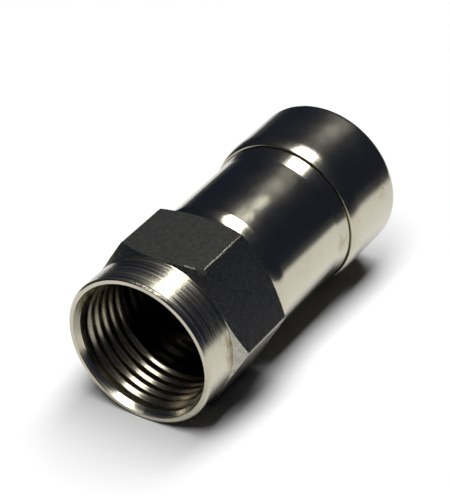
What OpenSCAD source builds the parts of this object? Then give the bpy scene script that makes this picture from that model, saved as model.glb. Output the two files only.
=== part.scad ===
// Compression F connector, open state: a spinning hexagon coupling nut, a
// plated body with a barbed inner post, and a sleeve that slides along the
// body to close the connector on its cable.
// The axis lies along X. The origin is the centre of the post's front face,
// which is the connector's reference plane, +X runs towards the cable end and
// a wrench flat of the nut faces down. Millimetres.

/* [Coupling nut] */
// Width across the wrench flats
hex_af = 11; // [10.6:0.1:12]
// Length of the nut from its mouth to its rear face
nut_len = 8.4; // [8:0.1:9]
// Length of the round collar ahead of the hexagon
collar_len = 2.86; // [2:0.1:3.6]
// Outside diameter of the collar, just below the width across the flats
collar_d = 10.96; // [10.4:0.02:10.96]
// Angle of the turned chamfer on the corners of the hexagon
corner_chamfer = 30; // [20:1:40]
// Depth of the worn band that breaks the long corners of the hexagon
corner_break = 0.03; // [0.01:0.01:0.06]
// Bevel on the outside edge of the mouth
rim_bevel = 0.13; // [0.05:0.01:0.2]

/* [Coupling thread] */
// Major diameter of the thread, 3/8 inch, cut to a plain wall here
thread_d = 9.525; // [9.4:0.025:9.65]
// Distance from the mouth to the front face of the post
thread_depth = 5.6; // [5:0.1:6]
// Diameter of the mouth at the rim
mouth_d = 10.2; // [10.1:0.02:10.3]
// Length of the countersink inside the rim
sink_len = 0.42; // [0.3:0.02:0.5]
// Angle of the countersink against the axis
sink_angle = 33; // [25:1:34]
// Length of the smooth lead between the countersink and the thread
lead_len = 0.58; // [0.4:0.02:1]
// Radial depth of the thread relief ahead of the inner lip
relief_depth = 0.19; // [0.1:0.01:0.3]
// Length of the thread relief ahead of the post
relief_len = 0.15; // [0.1:0.05:0.5]

/* [Inner post] */
// Bore that takes the cable's dielectric
post_bore_d = 4.8; // [4.5:0.1:5]
// Wall of the tube behind the hub
post_wall = 0.45; // [0.3:0.05:0.6]
// Length from the front face to the tip of the barb
post_len = 13; // [11:0.1:13.2]
// Thickness of the front flange
flange_t = 1.1; // [0.9:0.05:1.3]
// Radial gap between the flange and the thread's major diameter
flange_gap = 0.16; // [0.1:0.01:0.25]
// Diameter of the hub that is pressed into the body
hub_d = 6.4; // [6.1:0.1:6.8]
// Height of the barb above the tube
barb_h = 0.3; // [0.15:0.05:0.5]
// Length of the barb's rear cone
barb_len = 1.1; // [0.8:0.1:1.6]

/* [Body] */
// Outside diameter of the barrel
body_d = 10.6; // [10.2:0.1:10.8]
// Length of the barrel from its front shoulder to its open end
body_len = 10.85; // [10.5:0.05:11.5]
// Radius of the rounded front shoulder
shoulder_r = 1.2; // [0.6:0.1:1.3]
// Wall of the barrel round the cable cavity
body_wall = 0.6; // [0.45:0.05:0.7]
// Thickness of the front wall behind the shoulder face
front_wall = 1.65; // [1.4:0.05:2.4]
// Diameter of the neck that carries the nut
neck_d = 7.96; // [7.6:0.02:8.2]
// Rise of the rear land above the barrel, on the radius
land_h = 0.12; // [0.06:0.01:0.18]
// Length of the rear land, up to the open end
land_len = 1.55; // [1.45:0.05:2]
// Length of the taper from the barrel up to the land
taper_len = 1.15; // [0.6:0.05:1.5]

/* [Compression sleeve] */
// Length of the sleeve
sleeve_len = 6.1; // [6:0.1:7]
// Wall of the sleeve over the land
sleeve_wall = 0.28; // [0.24:0.01:0.4]
// Thickness of the front edge before it swells to full diameter
edge_t = 0.06; // [0.05:0.01:0.14]
// Length of the swelling front edge
edge_len = 1.1; // [0.6:0.1:1.2]
// Height of the low bead behind the front edge
bead_h = 0.03; // [0.01:0.01:0.08]
// Length over which the bead falls to the sleeve's diameter
bead_len = 2; // [1:0.1:2.6]
// Length of the sleeve that already covers the body
overlap = 1.4; // [1:0.05:1.4]
// Thickness of the rear wall
rear_wall = 0.65; // [0.5:0.05:0.8]
// Radius of the rounded rear edge
rear_r = 0.55; // [0.3:0.05:0.6]
// Diameter of the opening in the rear wall
entry_d = 8.6; // [8.4:0.1:9]

/* [Grip ferrule] */
// Bore that takes the cable's jacket
ferrule_bore_d = 8.2; // [8:0.1:8.3]
// Thickness of the ferrule's rear flange
grip_t = 0.7; // [0.5:0.05:1]
// Length of the nose ahead of the flange
nose_len = 3.85; // [3:0.05:4]
// Length of the chamfer on the tip of the nose
nose_tip = 0.5; // [0.3:0.1:0.8]

/* [Seal ring] */
// Section diameter of the rubber ring
seal_d = 0.64; // [0.5:0.02:0.7]

/* [Fits] */
// Radial clearance of the nut on the neck
run_clear = 0.07; // [0.03:0.01:0.1]
// Axial play of the nut's inner lip behind the post
end_play = 0.1; // [0.05:0.01:0.15]
// Radial clearance round the seal ring
seal_clear = 0.065; // [0.04:0.005:0.08]
// Axial gap between the nut and the body's shoulder
nut_gap = 0.35; // [0.2:0.05:0.5]
// Radial clearance of the sleeve on the land, and of the ferrule in it
slide_clear = 0.05; // [0.03:0.01:0.08]
// Radial clearance of the ferrule's nose in the body
nose_clear = 0.08; // [0.05:0.01:0.12]
// Thickness of the lip inside the nut
lip_t = 0.6; // [0.5:0.05:0.8]

/* [Hidden] */
$fn = 96;
arc_n = 24;

// Places along the axis
x_mouth = -thread_depth;
x_nut_rear = x_mouth + nut_len;
x_hex = x_mouth + collar_len;
x_lip = flange_t + end_play;
x_pocket = x_lip + lip_t;
x_body = x_nut_rear + nut_gap;
x_floor = x_body + front_wall;
x_body_rear = x_body + body_len;
x_land = x_body_rear - land_len;
x_taper = x_land - taper_len;
x_sleeve = x_body_rear - overlap;
x_end = x_sleeve + sleeve_len;
x_seat = x_end - rear_wall;
x_grip = x_seat - grip_t;
x_nose = x_grip - nose_len;

// Radii
thread_r = thread_d / 2;
relief_r = thread_r + relief_depth;
collar_r = collar_d / 2;
corner_r = hex_af / 2 / cos(30);
corner_dx = (corner_r - collar_r) * tan(corner_chamfer);
neck_r = neck_d / 2;
lip_r = neck_r + run_clear;
pocket_r = neck_r + seal_d + 2 * seal_clear;
flange_r = thread_r - flange_gap;
post_r = post_bore_d / 2;
tube_r = post_r + post_wall;
hub_r = hub_d / 2;
barb_r = tube_r + barb_h;
body_r = body_d / 2;
cavity_r = body_r - body_wall;
land_r = body_r + land_h;
sleeve_in_r = land_r + slide_clear;
sleeve_r = sleeve_in_r + sleeve_wall;
bead_r = sleeve_r + bead_h;
entry_r = entry_d / 2;
ferrule_r = ferrule_bore_d / 2;
grip_r = sleeve_in_r - slide_clear;
nose_r = cavity_r - nose_clear;

nickel = [0.72, 0.70, 0.66];
tin = [0.66, 0.66, 0.64];
rubber = [0.06, 0.06, 0.06];
plastic = [0.12, 0.12, 0.13];

// Quarter of an ellipse that rises from (x - dx, r) to (x, r + dr), as
// [x, r] points
function swell(x, r, dx, dr) =
    [for (i = [0 : arc_n]) let (t = 180 - 90 * i / arc_n)
        [x + dx * cos(t), r + dr * sin(t)]];

// Turns a profile of [x, r] points about the X axis. A round is an outside
// corner of the profile, given as [x, r, radius, side]: the profile cuts the
// corner off and a quarter circle fills it, with side -1 at a front corner
// and 1 at a rear one
module turned(profile, round = []) {
    rotate([0, 90, 0])
        rotate_extrude() {
            polygon([for (p = profile) [p[1], p[0]]]);
            if (len(round) > 0)
                translate([round[1] - round[2], round[0] - round[3] * round[2]])
                    intersection() {
                        circle(r = round[2]);
                        translate([0, round[3] < 0 ? -round[2] : 0])
                            square(round[2]);
                    }
        }
}

// Prism with a flat facing down, between two places on the axis
module hex_bar(x0, x1) {
    translate([x0, 0, 0])
        rotate([0, 90, 0])
            rotate([0, 0, 30])
                cylinder(r = corner_r, h = x1 - x0, $fn = 6);
}

// Nut: collar and chamfered hexagon, bored for the thread, with an inner lip
// that catches the post's flange and a pocket for the seal ring behind it
module coupling_nut() {
    far_r = corner_r - corner_break;
    far_dx = (far_r - collar_r) * tan(corner_chamfer);
    color(nickel)
    difference() {
        union() {
            turned([[x_mouth, 0],
                    [x_mouth, collar_r - rim_bevel],
                    [x_mouth + rim_bevel, collar_r],
                    [x_hex + corner_dx, collar_r],
                    [x_hex + corner_dx, 0]]);
            intersection() {
                hex_bar(x_hex, x_nut_rear);
                turned([[x_hex, 0],
                        [x_hex, collar_r],
                        [x_hex + far_dx, far_r],
                        [x_nut_rear - far_dx, far_r],
                        [x_nut_rear, collar_r],
                        [x_nut_rear, 0]]);
            }
        }
        turned([[x_mouth - 1, 0],
                [x_mouth - 1, mouth_d / 2],
                [x_mouth, mouth_d / 2],
                [x_mouth + sink_len, mouth_d / 2 - sink_len * tan(sink_angle)],
                [x_mouth + sink_len + lead_len, thread_r],
                [-relief_len, thread_r],
                [-relief_len, relief_r],
                [x_lip, relief_r],
                [x_lip, lip_r],
                [x_pocket, lip_r],
                [x_pocket, pocket_r],
                [x_nut_rear + 1, pocket_r],
                [x_nut_rear + 1, 0]]);
    }
}

// Post: flange, pressed hub, tube and a barb that bites the cable's braid
module inner_post() {
    color(tin)
    turned([[0, post_r],
            [0, flange_r - 0.1],
            [0.1, flange_r],
            [flange_t, flange_r],
            [flange_t, hub_r],
            [x_floor, hub_r],
            [x_floor + hub_r - tube_r, tube_r],
            [post_len - barb_len - barb_h, tube_r],
            [post_len - barb_len, barb_r],
            [post_len - barb_len + 0.1, barb_r],
            [post_len, post_r + post_wall / 2],
            [post_len, post_r]]);
}

// Body: neck, round shoulder, barrel, tapered land and a cavity open to the
// rear
module body_shell() {
    color(nickel)
    turned([[flange_t, hub_r],
            [flange_t, neck_r],
            [x_body, neck_r],
            [x_body, body_r - shoulder_r],
            [x_body + shoulder_r, body_r],
            [x_taper, body_r],
            [x_land, land_r],
            [x_body_rear - 0.15, land_r],
            [x_body_rear, land_r - 0.15],
            [x_body_rear, cavity_r],
            [x_floor + 0.3, cavity_r],
            [x_floor, cavity_r - 0.3],
            [x_floor, hub_r]],
           [x_body, body_r, shoulder_r, -1]);
}

// Rubber ring between the neck and the pocket in the nut
module seal_ring() {
    color(rubber)
    rotate([0, 90, 0])
        translate([0, 0, (x_pocket + x_nut_rear) / 2])
            rotate_extrude()
                translate([neck_r + seal_clear + seal_d / 2, 0])
                    circle(d = seal_d, $fn = 32);
}

// Sleeve: swelling front edge, low bead, thin wall, rounded rear edge and a
// rear wall with the cable opening
module compression_sleeve() {
    x_bead = x_sleeve + edge_len;
    color(nickel)
    turned(concat(
        [[x_sleeve, sleeve_in_r]],
        swell(x_bead, sleeve_in_r + edge_t, edge_len, bead_r - sleeve_in_r - edge_t),
        [[x_bead + bead_len, sleeve_r],
         [x_end - rear_r, sleeve_r],
         [x_end, sleeve_r - rear_r],
         [x_end, entry_r + 0.15],
         [x_end - 0.15, entry_r],
         [x_seat, entry_r],
         [x_seat, sleeve_in_r]]),
           [x_end, sleeve_r, rear_r, 1]);
}

// Ferrule: flange against the sleeve's rear wall and a nose that is driven
// into the body to grip the jacket
module grip_ferrule() {
    color(plastic)
    turned([[x_nose, ferrule_r],
            [x_nose, nose_r - 0.2],
            [x_nose + nose_tip, nose_r],
            [x_grip, nose_r],
            [x_grip, grip_r],
            [x_seat, grip_r],
            [x_seat, ferrule_r]]);
}

coupling_nut();
inner_post();
body_shell();
seal_ring();
compression_sleeve();
grip_ferrule();
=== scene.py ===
# %% [markdown]
# # A compression F connector on a white table
# This lesson dresses a small plated connector that was drawn in CAD. The solids come in as a
# fixed frame with exact, smooth normals, so the turned pieces keep their own meshes and the
# work goes into the cut thread, the finishes and the light. Everything is in metres, with the
# connector's axis along X and its mouth towards -X.

# %% Load the frame
import bpy
import math
from mathutils import Matrix, Vector


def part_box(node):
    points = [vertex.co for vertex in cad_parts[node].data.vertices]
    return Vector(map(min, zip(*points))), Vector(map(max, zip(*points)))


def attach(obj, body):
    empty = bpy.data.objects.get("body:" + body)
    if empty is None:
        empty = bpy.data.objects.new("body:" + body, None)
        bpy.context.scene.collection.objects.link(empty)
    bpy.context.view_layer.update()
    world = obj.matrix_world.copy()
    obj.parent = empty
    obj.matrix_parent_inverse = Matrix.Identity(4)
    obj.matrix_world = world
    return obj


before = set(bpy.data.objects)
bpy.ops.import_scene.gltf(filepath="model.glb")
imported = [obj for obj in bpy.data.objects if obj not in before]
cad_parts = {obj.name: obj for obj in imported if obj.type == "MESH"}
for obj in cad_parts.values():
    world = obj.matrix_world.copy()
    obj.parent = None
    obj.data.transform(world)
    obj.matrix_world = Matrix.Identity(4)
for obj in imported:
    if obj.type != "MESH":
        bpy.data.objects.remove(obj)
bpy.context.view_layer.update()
MM = 0.001

# %% [markdown]
# Later steps need a few sizes of the connector. How far the nut and the sleeve reach is
# measured on the CAD nodes. The collar and the bore don't show in a box, so they are named
# here. The post's front face is at X = 0.

# %% Measure the pieces
nut_low, nut_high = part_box("coupling_nut")
sleeve_low, sleeve_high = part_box("compression_sleeve")
MOUTH_X = nut_low.x
HEX_HALF = nut_high.z
COLLAR_R = 5.48 * MM
BORE_R = 4.95 * MM
HEX_FRONT_X = MOUTH_X + 2.86 * MM
SLEEVE_R = sleeve_high.z
print("mouth at %.2f mm, hexagon %.2f mm across flats" % (MOUTH_X / MM, 2 * HEX_HALF / MM))

# %% [markdown]
# The camera comes before anything that is judged through it. A long lens a hand's breadth away
# looks down on the mouth of the nut from the front left. Its place and its turn are given as a
# position and three axes, which leaves no doubt about roll.

# %% Camera
VIEW_PLACE = Vector((-90.33, -63.13, 80.01)) * MM
VIEW_RIGHT = Vector((0.53102, -0.84661, -0.03562))
VIEW_UP = Vector((0.49569, 0.27627, 0.82339))
camera_data = bpy.data.cameras.new("camera")
camera_data.sensor_width = 36.0
camera_data.lens = 147.1
camera_data.clip_start = 0.005
camera_data.clip_end = 20.0
camera = bpy.data.objects.new("camera", camera_data)
bpy.context.scene.collection.objects.link(camera)
right = VIEW_RIGHT.normalized()
up = (VIEW_UP - right * VIEW_UP.dot(right)).normalized()
back = right.cross(up)
turn = Matrix((right, up, back)).transposed().to_4x4()
camera.matrix_world = Matrix.Translation(VIEW_PLACE) @ turn
bpy.context.scene.camera = camera
print("camera %.0f mm from the post's face" % (VIEW_PLACE.length / MM))

# %% [markdown]
# Every operator acts on what is selected, and the frame arrives selected, so a small helper
# clears the selection, and another adds one shader node with its values and links in one line.

# %% Helpers
def clear_selection():
    if bpy.context.object and bpy.context.object.mode != "OBJECT":
        bpy.ops.object.mode_set(mode="OBJECT")
    bpy.ops.object.select_all(action="DESELECT")


def add_node(tree, kind, inputs=None, **settings):
    made = tree.nodes.new(kind)
    for name, value in settings.items():
        setattr(made, name, value)
    for name, value in (inputs or {}).items():
        if isinstance(value, bpy.types.NodeSocket):
            tree.links.new(value, made.inputs[name])
        else:
            made.inputs[name].default_value = value
    return made


def math_node(tree, operation, first, second=0.0, clamp=False):
    made = add_node(tree, "ShaderNodeMath", {0: first, 1: second}, operation=operation)
    made.use_clamp = clamp
    return made.outputs[0]


def smooth_range(tree, value, low, high, to_low=0.0, to_high=1.0):
    made = add_node(tree, "ShaderNodeMapRange", {
        "Value": value, "From Min": low, "From Max": high,
        "To Min": to_low, "To Max": to_high}, interpolation_type="SMOOTHSTEP")
    return made.outputs["Result"]


def new_group(name, sockets_in, sockets_out):
    group = bpy.data.node_groups.new(name, "ShaderNodeTree")
    for label, kind, value in sockets_in:
        socket = group.interface.new_socket(label, in_out="INPUT", socket_type=kind)
        socket.default_value = value
    for label, kind in sockets_out:
        group.interface.new_socket(label, in_out="OUTPUT", socket_type=kind)
    start = group.nodes.new("NodeGroupInput")
    end = group.nodes.new("NodeGroupOutput")
    return group, start.outputs, end.inputs


def place_group(tree, group, **values):
    made = tree.nodes.new("ShaderNodeGroup")
    made.node_tree = group
    for name, value in values.items():
        socket = made.inputs[name.replace("_", " ")]
        if isinstance(value, bpy.types.NodeSocket):
            tree.links.new(value, socket)
        else:
            socket.default_value = value
    return made.outputs


def place_parts(tree):
    """X, Y and Z of the shaded point on the object."""
    place = add_node(tree, "ShaderNodeTexCoord").outputs["Object"]
    return add_node(tree, "ShaderNodeSeparateXYZ", {0: place}).outputs


NUMBER = "NodeSocketFloat"
POINT = "NodeSocketVector"
print("helpers ready")

# %% [markdown]
# ## Finishes
# The real pieces are turned from brass bar and nickel plated. Plating copies what is under it,
# so a lathe's fine rings show on the collar, and the wrench flats keep the grain of the
# drawn bar. These effects are shared by several finishes, so each is a node group with
# named inputs, placed in every material with its own values.

# %% Turning lines
def make_turning_lines():
    group, given, result = new_group("turning lines", [
        ("Rings per mm", NUMBER, 14.0), ("Breaks", NUMBER, 0.06)], [("Lines", NUMBER)])
    split = place_parts(group)
    along = math_node(group, "MULTIPLY", split["X"], 1 / MM)
    along = math_node(group, "MULTIPLY", along, given["Rings per mm"])
    cross_y = math_node(group, "MULTIPLY", split["Y"], 1 / MM)
    cross_y = math_node(group, "MULTIPLY", cross_y, given["Breaks"])
    cross_z = math_node(group, "MULTIPLY", split["Z"], 1 / MM)
    cross_z = math_node(group, "MULTIPLY", cross_z, given["Breaks"])
    stretched = add_node(group, "ShaderNodeCombineXYZ", {
        "X": along, "Y": cross_y, "Z": cross_z}).outputs[0]
    rings = add_node(group, "ShaderNodeTexNoise", {
        "Vector": stretched, "Scale": 1.0, "Detail": 3.0, "Roughness": 0.6})
    group.links.new(rings.outputs["Fac"], result["Lines"])
    return group


turning_lines = make_turning_lines()
print("group", turning_lines.name)

# %% [markdown]
# Handling leaves a cloudy film, which shows as slow changes of gloss and a little brown. It is
# noise on two scales, coarse clouds and fine specks, mixed by a named amount.

# %% Film of handling
def make_film():
    group, given, result = new_group("film", [
        ("Cloud size mm", NUMBER, 2.0), ("Speck size mm", NUMBER, 0.15),
        ("Specks", NUMBER, 0.4)], [("Mask", NUMBER)])
    place = add_node(group, "ShaderNodeTexCoord").outputs["Object"]
    cloud_scale = math_node(group, "DIVIDE", 1 / MM, given["Cloud size mm"])
    speck_scale = math_node(group, "DIVIDE", 1 / MM, given["Speck size mm"])
    clouds = add_node(group, "ShaderNodeTexNoise", {
        "Vector": place, "Scale": cloud_scale, "Detail": 4.0, "Roughness": 0.6}).outputs["Fac"]
    specks = add_node(group, "ShaderNodeTexNoise", {
        "Vector": place, "Scale": speck_scale, "Detail": 2.0}).outputs["Fac"]
    clouds = smooth_range(group, clouds, 0.32, 0.68)
    specks = smooth_range(group, specks, 0.35, 0.65)
    rest = math_node(group, "SUBTRACT", 1.0, given["Specks"])
    slow = math_node(group, "MULTIPLY", clouds, rest)
    fast = math_node(group, "MULTIPLY", specks, given["Specks"])
    both = math_node(group, "ADD", slow, fast)
    group.links.new(both, result["Mask"])
    return group


film = make_film()
print("group", film.name)

# %% [markdown]
# A knock or a scuff stays in one place, so its mask is a soft ball round a point of the
# object, filled with sharp noise. The same group makes the scuffs on the barrel and the nicks
# on the corner of the hexagon.

# %% Knocks and scuffs
def make_knocks():
    group, given, result = new_group("knocks", [
        ("Centre", POINT, (0.0, 0.0, 0.0)), ("Spread", POINT, (1.0, 1.0, 1.0)),
        ("Grain mm", NUMBER, 0.12), ("Cover", NUMBER, 0.5)],
        [("Mask", NUMBER), ("Height", NUMBER)])
    place = add_node(group, "ShaderNodeTexCoord").outputs["Object"]
    offset = add_node(group, "ShaderNodeVectorMath", {0: place, 1: given["Centre"]},
                      operation="SUBTRACT").outputs[0]
    scaled = add_node(group, "ShaderNodeVectorMath", {0: offset, 1: given["Spread"]},
                      operation="DIVIDE").outputs[0]
    away = add_node(group, "ShaderNodeVectorMath", {0: scaled},
                    operation="LENGTH").outputs["Value"]
    near = smooth_range(group, away, 1.0, 0.25)
    grain = math_node(group, "DIVIDE", 1 / MM, given["Grain mm"])
    noise = add_node(group, "ShaderNodeTexNoise", {
        "Vector": place, "Scale": grain, "Detail": 3.0, "Roughness": 0.65}).outputs["Fac"]
    low = math_node(group, "SUBTRACT", 0.72, math_node(group, "MULTIPLY", given["Cover"], 0.3))
    high = math_node(group, "ADD", low, 0.1)
    marks = smooth_range(group, noise, low, high)
    mask = math_node(group, "MULTIPLY", near, marks)
    group.links.new(mask, result["Mask"])
    group.links.new(math_node(group, "MULTIPLY", near, noise), result["Height"])
    return group


knocks = make_knocks()
print("group", knocks.name)

# %% [markdown]
# The hexagon is one solid with the collar, but its flats are duller than the turned metal.
# They are found by place: behind the collar and outside its radius. The nickel inside the bore is
# # painted dark as shade, because little light gets into the recess, and that place is
# # found in the same way: within the bore and a millimetre past the mouth.

# %% Where the flats and the bore are
def radius_round_x(tree, split):
    y2 = math_node(tree, "MULTIPLY", split["Y"], split["Y"])
    z2 = math_node(tree, "MULTIPLY", split["Z"], split["Z"])
    return math_node(tree, "SQRT", math_node(tree, "ADD", y2, z2))


def make_flats():
    group, given, result = new_group("flats", [], [("Mask", NUMBER)])
    split = place_parts(group)
    radius = radius_round_x(group, split)
    outside = smooth_range(group, radius, COLLAR_R - 0.02 * MM, COLLAR_R + 0.02 * MM)
    behind = smooth_range(group, split["X"], HEX_FRONT_X, HEX_FRONT_X + 0.03 * MM)
    group.links.new(math_node(group, "MULTIPLY", outside, behind), result["Mask"])
    return group


def make_inside():
    group, given, result = new_group("inside", [], [("Mask", NUMBER)])
    split = place_parts(group)
    radius = radius_round_x(group, split)
    within = smooth_range(group, radius, BORE_R + 0.08 * MM, BORE_R - 0.02 * MM)
    deep = smooth_range(group, split["X"], MOUTH_X + 0.2 * MM, MOUTH_X + 1.2 * MM)
    group.links.new(math_node(group, "MULTIPLY", within, deep), result["Mask"])
    return group


flats = make_flats()
inside = make_inside()
print("groups", flats.name, inside.name)

# %% [markdown]
# The nickel itself is a metal with a slightly warm grey. Its roughness and bump come from the
# groups: rings where a tool cut, clouds of film, and marks where something hit it.

# %% Nickel plate
NICKEL = (0.52, 0.49, 0.39, 1.0)
NICKEL_STAINED = (0.34, 0.28, 0.19, 1.0)
NICKEL_DULL = (0.45, 0.44, 0.37, 1.0)
NICKEL_GRAIN = (0.25, 0.245, 0.2, 1.0)
# Painted shade: the dark nickel that stands for the shade inside the bore.
NICKEL_BORE_SHADE = (0.15, 0.137, 0.11, 1.0)


def start_material(name, metallic, roughness):
    material = bpy.data.materials.new(name)
    material.use_nodes = True
    tree = material.node_tree
    tree.nodes.clear()
    shader = add_node(tree, "ShaderNodeBsdfPrincipled", {
        "Metallic": metallic, "Roughness": roughness})
    add_node(tree, "ShaderNodeOutputMaterial", {"Surface": shader.outputs[0]})
    return material, tree, shader


def mix_numbers(tree, mask, low, high):
    made = add_node(tree, "ShaderNodeMix", {"Factor": mask, "A": low, "B": high},
                    data_type="FLOAT")
    return made.outputs["Result"]


def mix_colours(tree, mask, low, high):
    made = add_node(tree, "ShaderNodeMix", data_type="RGBA")
    for socket, value in zip((made.inputs["Factor"], made.inputs[6], made.inputs[7]),
                             (mask, low, high)):
        if isinstance(value, bpy.types.NodeSocket):
            tree.links.new(value, socket)
        else:
            socket.default_value = value
    return made.outputs[2]


def bump(tree, height, distance, strength=1.0, below=None):
    made = add_node(tree, "ShaderNodeBump", {
        "Height": height, "Distance": distance, "Strength": strength})
    if below is not None:
        tree.links.new(below, made.inputs["Normal"])
    return made.outputs["Normal"]


def place_marks(tree, centre, spread, grain, cover):
    """Knocks round one point of the piece. The centre, spread and grain are in millimetres."""
    return place_group(tree, knocks, Centre=[c * MM for c in centre],
                       Spread=[s * MM for s in spread], Grain_mm=grain, Cover=cover)


def make_nickel(name, gloss, rings, ring_depth, scuffs, spots):
    material, tree, shader = start_material(name, 1.0, gloss)
    clouds = place_group(tree, film, Cloud_size_mm=2.6, Speck_size_mm=0.2, Specks=0.35)["Mask"]
    lines = place_group(tree, turning_lines, Rings_per_mm=rings, Breaks=0.08)["Lines"]
    stain = smooth_range(tree, clouds, 0.7, 1.0, 0.0, 0.35)
    for centre, spread in spots:
        spot = place_marks(tree, centre, spread, 0.9, 1.0)["Mask"]
        stain = math_node(tree, "MAXIMUM", stain, math_node(tree, "MULTIPLY", spot, 0.6))
    colour = mix_colours(tree, stain, NICKEL, NICKEL_STAINED)
    rough = smooth_range(tree, clouds, 0.2, 0.9, gloss - 0.01, gloss + 0.02)
    normal = bump(tree, lines, ring_depth)
    for centre, spread, grain, cover, depth in scuffs:
        marks = place_marks(tree, centre, spread, grain, cover)
        rough = mix_numbers(tree, marks["Mask"], rough, gloss + 0.1)
        normal = bump(tree, marks["Height"], depth * MM, 1.0, normal)
    tree.links.new(colour, shader.inputs["Base Color"])
    tree.links.new(rough, shader.inputs["Roughness"])
    tree.links.new(normal, shader.inputs["Normal"])
    return material


def on_round(x, angle, radius):
    """A point of a turned piece, the angle from the top towards the viewer's side."""
    turn = math.radians(angle)
    return (x, -radius * math.sin(turn), radius * math.cos(turn))


barrel_scuffs = [
    (on_round(6.9, 21, 5.3), (1.7, 0.9, 0.6), 0.08, 0.5, 0.005),
    (on_round(5.2, 23, 5.3), (0.9, 0.6, 0.5), 0.08, 0.45, 0.004)]
body_nickel = make_nickel("nickel_barrel", 0.16, 10.0, 0.0006 * MM, barrel_scuffs,
                          [(on_round(11.7, 90, 5.4), (0.9, 0.8, 1.3))])
sleeve_nickel = make_nickel("nickel_sleeve", 0.18, 8.0, 0.0005 * MM, [],
                            [(on_round(16.9, 72, 5.7), (1.2, 0.9, 1.6))])
print("finishes", body_nickel.name, sleeve_nickel.name)

# %% [markdown]
# The nut needs the same nickel twice, glossy with rings on the collar and dull with a grain on
# the flats, so its material mixes the two sets of values by the mask of the flats. Its front
# corner has been knocked, which shows as bright nicks along the edge.

# %% Nickel of the nut
def make_nut_nickel():
    gloss = 0.19
    flat_gloss = 0.25
    material, tree, shader = start_material("nickel_nut", 1.0, gloss)
    on_flat = place_group(tree, flats)["Mask"]
    clouds = place_group(tree, film, Cloud_size_mm=2.2, Speck_size_mm=0.12, Specks=0.5)["Mask"]
    lines = place_group(tree, turning_lines, Rings_per_mm=12.0, Breaks=0.12)["Lines"]
    grain = place_group(tree, film, Cloud_size_mm=0.35, Speck_size_mm=0.06, Specks=0.6)["Mask"]
    stain = smooth_range(tree, clouds, 0.7, 1.0, 0.0, 0.35)
    spot = place_marks(tree, on_round(-3.2, 84, 5.48), (0.6, 0.6, 2.2), 0.8, 1.0)["Mask"]
    stain = math_node(tree, "MAXIMUM", stain, spot)
    colour = mix_colours(tree, stain, NICKEL, NICKEL_STAINED)
    dull = mix_colours(tree, grain, NICKEL_DULL, NICKEL_GRAIN)
    colour = mix_colours(tree, on_flat, colour, dull)
    # Painted shade: inside the bore the nickel is swapped for a dark colour.
    in_bore = place_group(tree, inside)["Mask"]
    colour = mix_colours(tree, in_bore, colour, NICKEL_BORE_SHADE)
    collar_rough = smooth_range(tree, lines, 0.3, 0.7, gloss - 0.06, gloss + 0.12)
    flat_rough = smooth_range(tree, grain, 0.1, 0.9, flat_gloss - 0.03, flat_gloss + 0.04)
    rough = mix_numbers(tree, on_flat, collar_rough, flat_rough)
    flat_height = math_node(tree, "MULTIPLY", grain, 0.5)
    height = mix_numbers(tree, on_flat, lines, flat_height)
    normal = bump(tree, height, 0.0027 * MM)
    corner = on_round(-2.4, 30, 6.25)
    edge = on_round(-0.2, 30, 6.32)
    arris = (-2.45, -2.35, 5.5)
    rim = on_round(-5.5, 12, 5.35)
    for centre, spread, grain_mm, cover, depth in [
            (corner, (0.4, 0.6, 0.4), 0.07, 1.0, 0.02),
            (arris, (0.2, 1.1, 0.14), 0.07, 1.0, 0.03),
            (edge, (2.6, 0.2, 0.2), 0.08, 0.9, 0.012),
            (rim, (0.2, 3.2, 0.9), 0.12, 0.8, 0.03)]:
        marks = place_marks(tree, centre, spread, grain_mm, cover)
        colour = mix_colours(tree, marks["Mask"], colour, NICKEL)
        normal = bump(tree, marks["Height"], depth * MM, 1.0, normal)
    tree.links.new(colour, shader.inputs["Base Color"])
    tree.links.new(rough, shader.inputs["Roughness"])
    tree.links.new(normal, shader.inputs["Normal"])
    return material


nut_nickel = make_nut_nickel()
print("finish", nut_nickel.name)

# %% [markdown]
# The post is tin plated, which is softer and greyer than nickel. Its front end, deep inside the
# # nut, is painted dark as shade. The ferrule is a moulded black plastic and the seal a black
# # rubber, both matte with a fine grain.

# %% Tin, plastic and rubber
TIN = (0.50, 0.49, 0.46, 1.0)
TIN_WORN = (0.38, 0.37, 0.35, 1.0)
# Painted shade: the colour of the post's front end, deep in the nut.
TIN_PAINTED_SHADE = (0.045, 0.043, 0.04, 1.0)
ACETAL = (0.022, 0.022, 0.024, 1.0)
ACETAL_WORN = (0.04, 0.04, 0.042, 1.0)
RUBBER = (0.012, 0.012, 0.012, 1.0)
RUBBER_WORN = (0.03, 0.029, 0.028, 1.0)


def make_tin():
    material, tree, shader = start_material("tin_post", 1.0, 0.34)
    clouds = place_group(tree, film, Cloud_size_mm=1.2, Speck_size_mm=0.1, Specks=0.5)["Mask"]
    lines = place_group(tree, turning_lines, Rings_per_mm=9.0, Breaks=0.1)["Lines"]
    colour = mix_colours(tree, clouds, TIN, TIN_WORN)
    split = place_parts(tree)
    # Painted shade: towards the front the tin turns dark, deep inside the nut.
    front = smooth_range(tree, split["X"], 2.5 * MM, 0.8 * MM)
    colour = mix_colours(tree, front, colour, TIN_PAINTED_SHADE)
    tree.links.new(colour, shader.inputs["Base Color"])
    tree.links.new(smooth_range(tree, clouds, 0.1, 0.9, 0.14, 0.22), shader.inputs["Roughness"])
    tree.links.new(bump(tree, lines, 0.002 * MM), shader.inputs["Normal"])
    return material


def make_moulded(name, colour, colour_worn, roughness, grain):
    material, tree, shader = start_material(name, 0.0, roughness)
    clouds = place_group(tree, film, Cloud_size_mm=1.5, Speck_size_mm=grain, Specks=0.5)["Mask"]
    tree.links.new(mix_colours(tree, clouds, colour, colour_worn), shader.inputs["Base Color"])
    tree.links.new(smooth_range(tree, clouds, 0.1, 0.9, roughness - 0.08, roughness + 0.08),
                   shader.inputs["Roughness"])
    tree.links.new(bump(tree, clouds, 0.004 * MM), shader.inputs["Normal"])
    return material


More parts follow.
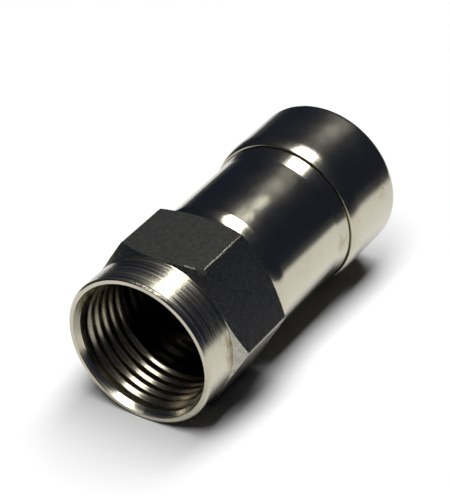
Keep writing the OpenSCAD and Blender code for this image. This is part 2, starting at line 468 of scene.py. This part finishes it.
tin = make_tin()
plastic = make_moulded("black_acetal", ACETAL, ACETAL_WORN, 0.42, 0.08)
rubber = make_moulded("black_rubber", RUBBER, RUBBER_WORN, 0.6, 0.06)
for node, material in {"coupling_nut": nut_nickel, "body_shell": body_nickel,
                       "compression_sleeve": sleeve_nickel, "inner_post": tin,
                       "seal_ring": rubber, "grip_ferrule": plastic}.items():
    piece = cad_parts[node]
    piece.data.materials.clear()
    piece.data.materials.append(material)
    print(node, "gets", material.name)

# %% [markdown]
# ## The coupling thread
# The nut is threaded 3/8 inch with 32 turns to the inch. Its solid has a plain bore at the
# thread's major diameter, and the ridges between the grooves stand inwards from it. A real tap
# cuts them as one helix, and plating rounds their crests, so the profile of one ridge is drawn
# as a soft wave and turned by the Screw modifier, which is exact and quick.

# %% Thread ridge
PITCH = 25.4 / 32 * MM
MAJOR_R = 4.7625 * MM
CREST_R = MAJOR_R - 0.26 * PITCH
THREAD_START = MOUTH_X + 0.45 * MM
THREAD_END = -0.1 * MM
RIDGE_HALF = 0.495 * PITCH
RIDGE_POINTS = 14
RIDGE_STEPS = 96
ROOT = 0.025 * MM
turns = (THREAD_END - THREAD_START - PITCH) / PITCH


def ridge_profile():
    """Places and radii round one ridge: a wave from root to crest to root, closed in the wall."""
    wave = []
    for i in range(RIDGE_POINTS):
        across = -1 + 2 * i / (RIDGE_POINTS - 1)
        rise = (0.5 + 0.5 * math.cos(math.pi * across)) * (MAJOR_R - CREST_R)
        wave.append((across * RIDGE_HALF, MAJOR_R - rise))
    return [(-RIDGE_HALF, MAJOR_R + ROOT)] + wave + [(RIDGE_HALF, MAJOR_R + ROOT)]


def make_ridge():
    clear_selection()
    bpy.ops.mesh.primitive_circle_add(
        vertices=RIDGE_POINTS + 2, radius=PITCH, fill_type="NOTHING")
    ridge = bpy.context.object
    ridge.name = "thread_ridge"
    start_x = THREAD_START + 0.5 * PITCH
    for vertex, (dx, radius) in zip(ridge.data.vertices, ridge_profile()):
        vertex.co = (start_x + dx, 0.0, radius)
    screw = ridge.modifiers.new("helix", "SCREW")
    screw.axis = "X"
    screw.angle = math.tau * turns
    screw.screw_offset = PITCH * turns
    screw.iterations = 1
    screw.steps = int(RIDGE_STEPS * turns)
    screw.render_steps = screw.steps
    screw.use_smooth_shade = False
    bpy.ops.object.modifier_apply(modifier="helix")
    bpy.ops.object.mode_set(mode="EDIT")
    bpy.ops.mesh.select_all(action="DESELECT")
    bpy.ops.mesh.select_non_manifold()
    bpy.ops.mesh.fill()
    bpy.ops.mesh.select_all(action="SELECT")
    bpy.ops.mesh.normals_make_consistent(inside=False)
    bpy.ops.object.mode_set(mode="OBJECT")
    return ridge


ridge = make_ridge()
print("ridge: %d faces, %.2f turns of %.3f mm" % (len(ridge.data.polygons), turns, PITCH / MM))

# %% [markdown]
# A countersink in the mouth cuts the first turn away at a slant, so a port can find the
# thread. The cutter is a cone, subtracted with a Boolean modifier.

# %% Countersink of the thread
def cut_lead():
    clear_selection()
    front, depth = MOUTH_X - 0.5 * MM, 3.0 * MM
    mouth_r, tip_r = 5.22 * MM, 4.1 * MM
    bpy.ops.mesh.primitive_cone_add(
        vertices=192, radius1=mouth_r, radius2=tip_r, depth=depth,
        location=(front + depth / 2, 0, 0), rotation=(0, math.pi / 2, 0))
    cutter = bpy.context.object
    bpy.ops.object.transform_apply(location=True, rotation=True, scale=True)
    clear_selection()
    bpy.context.view_layer.objects.active = ridge
    ridge.select_set(True)
    cut = ridge.modifiers.new("countersink", "BOOLEAN")
    cut.operation = "DIFFERENCE"
    cut.object = cutter
    cut.solver = "EXACT"
    bpy.ops.object.modifier_apply(modifier="countersink")
    bpy.data.objects.remove(cutter)
    bpy.ops.object.shade_smooth_by_angle(angle=math.radians(20))


cut_lead()
print("ridge after the countersink: %d faces" % len(ridge.data.polygons))

# %% [markdown]
# Like the rest of the bore, the thread's nickel is painted darker, as shade inside the recess.
# # The ridge gets its own nickel, a little rougher than the collar's.

# %% Nickel of the thread
# Painted shade: both thread colours are darker than the outer nickel to stand for shade in the
# bore.
THREAD_SHADED_NICKEL = (0.36, 0.33, 0.26, 1.0)
THREAD_SHADED_NICKEL_MOTTLED = (0.26, 0.23, 0.175, 1.0)


def make_thread_nickel():
    material, tree, shader = start_material("nickel_thread", 1.0, 0.22)
    clouds = place_group(tree, film, Cloud_size_mm=1.0, Speck_size_mm=0.1, Specks=0.4)["Mask"]
    colour = mix_colours(tree, clouds, THREAD_SHADED_NICKEL, THREAD_SHADED_NICKEL_MOTTLED)
    tree.links.new(colour, shader.inputs["Base Color"])
    tree.links.new(smooth_range(tree, clouds, 0.1, 0.9, 0.2, 0.26), shader.inputs["Roughness"])
    lines = place_group(tree, turning_lines, Rings_per_mm=9.0, Breaks=0.1)["Lines"]
    tree.links.new(bump(tree, lines, 0.0008 * MM), shader.inputs["Normal"])
    return material


ridge.data.materials.append(make_thread_nickel())
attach(ridge, "nut")

# %% [markdown]
# ## Table and light
# The connector leans on the rim of its mouth and on the bead of its sleeve, which is wider, so
# its axis and the table are about one degree apart. The connector stays where the CAD has it
# and the table is tilted instead. The white sheet ends a few centimetres away, and polished
# metal mirrors the darker room past its edge, so the table is dark there to glossy rays alone.
# Light that goes from the sheet to the metal and back again would fill the shadow beside the
# connector, and Diffuse Depth holds most of it down, which keeps the contact shadow deep. Far
# from the lamp the sheet would fade, so there it gives the camera a little light of its own.

# %% Table
TABLE_SIZE = 3.0
SHEET = (0.7, 0.702, 0.716, 1.0)
SHEET_RETURNED = (0.02, 0.02, 0.02, 1.0)
ROOM_FLOOR = (0.03, 0.032, 0.04, 1.0)
SHEET_CENTRE = (6 * MM, 0.0, 0.0)
RIM_REST = 0.13 * MM
BEAD_REST = 1.3 * MM
rest_front = Vector((MOUTH_X + RIM_REST, 0, -COLLAR_R))
rest_rear = Vector((sleeve_low.x + BEAD_REST, 0, -SLEEVE_R))
lean = math.atan2(rest_front.z - rest_rear.z, rest_rear.x - rest_front.x)
clear_selection()
bpy.ops.mesh.primitive_plane_add(size=TABLE_SIZE)
table = bpy.context.object
table.name = "table"
turn = Matrix.Rotation(lean, 4, "Y")
table.data.transform(Matrix.Translation(rest_rear) @ turn)
paper, tree, shader = start_material("white_table", 0.0, 0.7)
shader.inputs["Specular IOR Level"].default_value = 0.1
place = add_node(tree, "ShaderNodeTexCoord").outputs["Object"]
away = add_node(tree, "ShaderNodeVectorMath", {0: place, 1: SHEET_CENTRE},
                operation="DISTANCE").outputs["Value"]
beyond = smooth_range(tree, away, 38 * MM, 58 * MM)
path = add_node(tree, "ShaderNodeLightPath").outputs
beyond = math_node(tree, "MULTIPLY", beyond, path["Is Glossy Ray"])
returned = math_node(tree, "MULTIPLY", path["Diffuse Depth"], 0.75, clamp=True)
sheet = mix_colours(tree, beyond, SHEET, ROOM_FLOOR)
sheet = mix_colours(tree, returned, sheet, SHEET_RETURNED)
tree.links.new(sheet, shader.inputs["Base Color"])
far = smooth_range(tree, away, 60 * MM, 500 * MM)
tree.links.new(math_node(tree, "MULTIPLY", far, path["Is Camera Ray"]),
               shader.inputs["Emission Strength"])
shader.inputs["Emission Color"].default_value = (1.0, 1.0, 1.0, 1.0)
table.data.materials.append(paper)
print("table leans %.2f degrees" % math.degrees(lean))

# %% [markdown]
# One long ceiling lamp runs overhead along the connector. On polished metal the shape of a
# lamp matters as much as its power: its long sides bound the bright streak along the barrel,
# and its far end decides how low a slope still catches it.

# %% Lamp
LAMP_HEIGHT = 0.5
LAMP_X = (-0.7, 0.84)
LAMP_Y = (-0.25, 0.18)
LAMP_GLOW = 9.9
lamp_data = bpy.data.lights.new("ceiling_lamp", "AREA")
lamp_data.shape = "RECTANGLE"
lamp_data.size = (LAMP_X[1] - LAMP_X[0]) * LAMP_HEIGHT
lamp_data.size_y = (LAMP_Y[1] - LAMP_Y[0]) * LAMP_HEIGHT
lamp_data.energy = LAMP_GLOW * math.pi * lamp_data.size * lamp_data.size_y
lamp_data.color = (1.0, 0.995, 0.98)
lamp = bpy.data.objects.new("ceiling_lamp", lamp_data)
bpy.context.scene.collection.objects.link(lamp)
lamp.location = (sum(LAMP_X) / 2 * LAMP_HEIGHT, sum(LAMP_Y) / 2 * LAMP_HEIGHT, LAMP_HEIGHT)
lamp.visible_camera = False
print("lamp %.2f x %.2f m" % (lamp_data.size, lamp_data.size_y))

# %% [markdown]
# The room beyond the table is dim and slightly blue, and polished metal shows it as its dark
# side. A camera that looks past the table sees plain white instead, so other views stay clean.

# %% Room
world = bpy.data.worlds.new("room")
bpy.context.scene.world = world
world.use_nodes = True
tree = world.node_tree
tree.nodes.clear()
dark = add_node(tree, "ShaderNodeBackground", {"Color": (0.7, 0.8, 1.0, 1.0), "Strength": 0.006})
dim = add_node(tree, "ShaderNodeBackground", {"Color": (0.42, 0.52, 1.0, 1.0), "Strength": 0.036})
white = add_node(tree, "ShaderNodeBackground", {"Color": (1.0, 1.0, 1.0, 1.0), "Strength": 1.0})
path = add_node(tree, "ShaderNodeLightPath")
mirrored = add_node(tree, "ShaderNodeMixShader", {
    0: path.outputs["Is Glossy Ray"], 1: dark.outputs[0], 2: dim.outputs[0]})
seen = add_node(tree, "ShaderNodeMixShader", {
    0: path.outputs["Is Camera Ray"], 1: mirrored.outputs[0], 2: white.outputs[0]})
add_node(tree, "ShaderNodeOutputWorld", {"Surface": seen.outputs[0]})
bpy.context.scene.view_settings.view_transform = "Standard"
print("room ready")

# %% Leave nothing selected
clear_selection()
